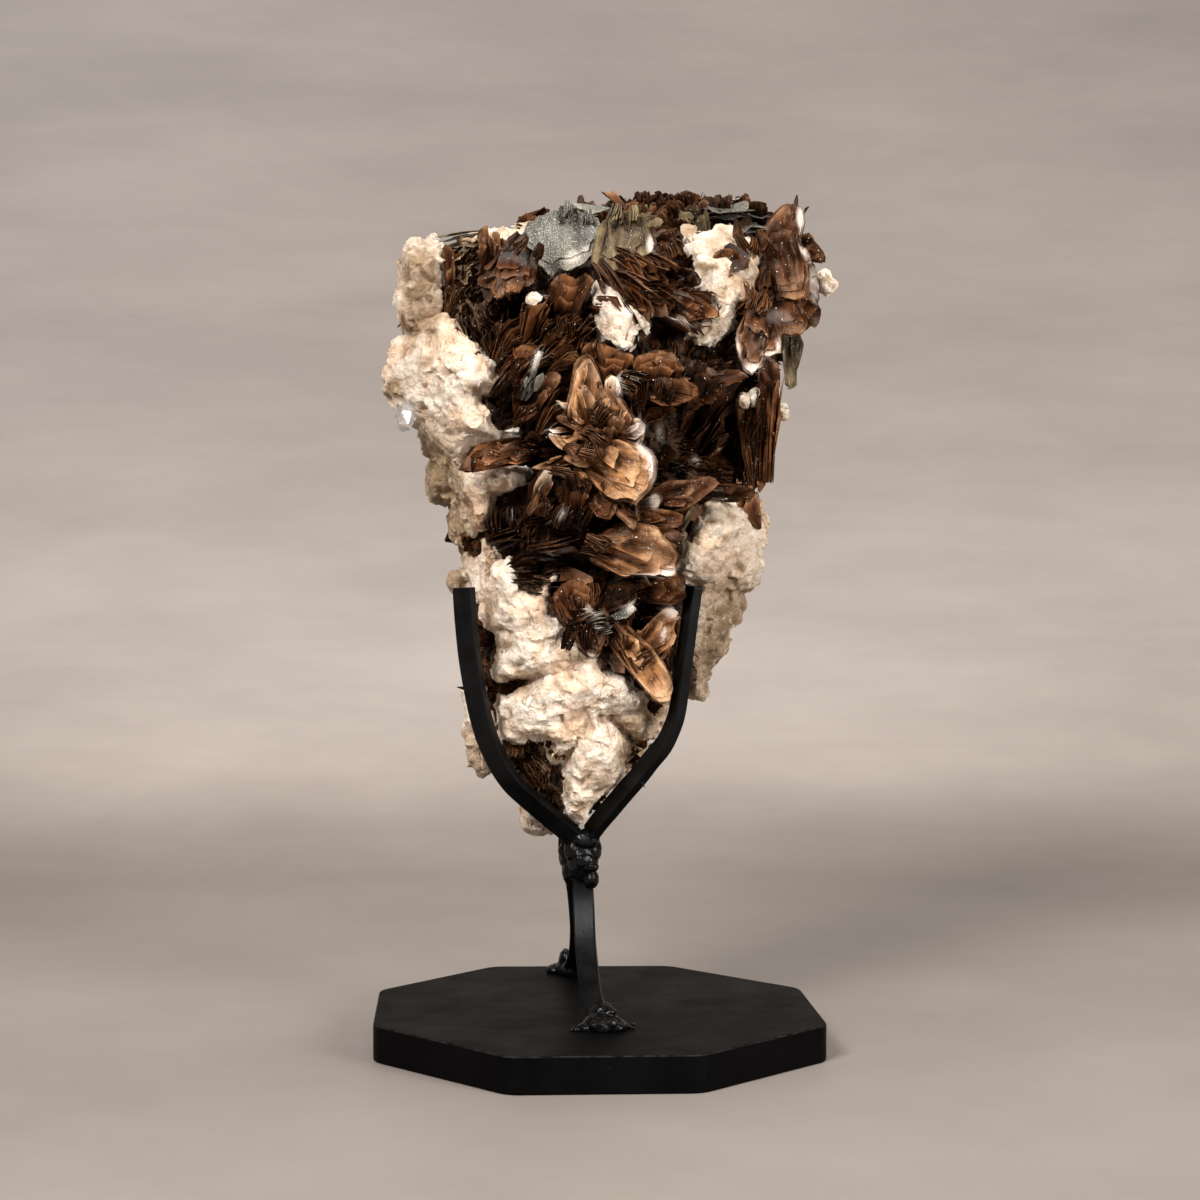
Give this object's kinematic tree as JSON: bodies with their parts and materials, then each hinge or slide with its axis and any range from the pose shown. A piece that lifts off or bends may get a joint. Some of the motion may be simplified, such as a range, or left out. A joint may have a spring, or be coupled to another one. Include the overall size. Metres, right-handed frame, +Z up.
{
  "type": "mica crystal specimen on stand",
  "caption": "Natural mica and feldspar crystal cluster resting in a welded black steel three-armed stand on an octagonal black base.",
  "frame": {"origin": "middle of the base's underside, on the surface it stands on", "axes": "+Z up; the specimen's display side faces -Y, +X to the right as seen from the front"},
  "size_m": [0.2076, 0.2077, 0.3977],
  "materials": {
    "mica_and_feldspar": "rough feldspar with glossy brown mica books",
    "black_base": "satin black paint, brushed on",
    "black_steel": "satin black paint",
    "weld_bead": "semi-gloss black paint over rough weld"
  },
  "bodies": {
    "root": {"mica_specimen": "mica_and_feldspar", "base": "black_base", "left_arm": "black_steel", "right_arm": "black_steel", "rear_arm": "black_steel", "front_leg": "black_steel", "rear_leg": "black_steel", "arm_weld": "weld_bead", "front_foot_weld": "weld_bead", "rear_foot_weld": "weld_bead"}
  },
  "joints": []
}
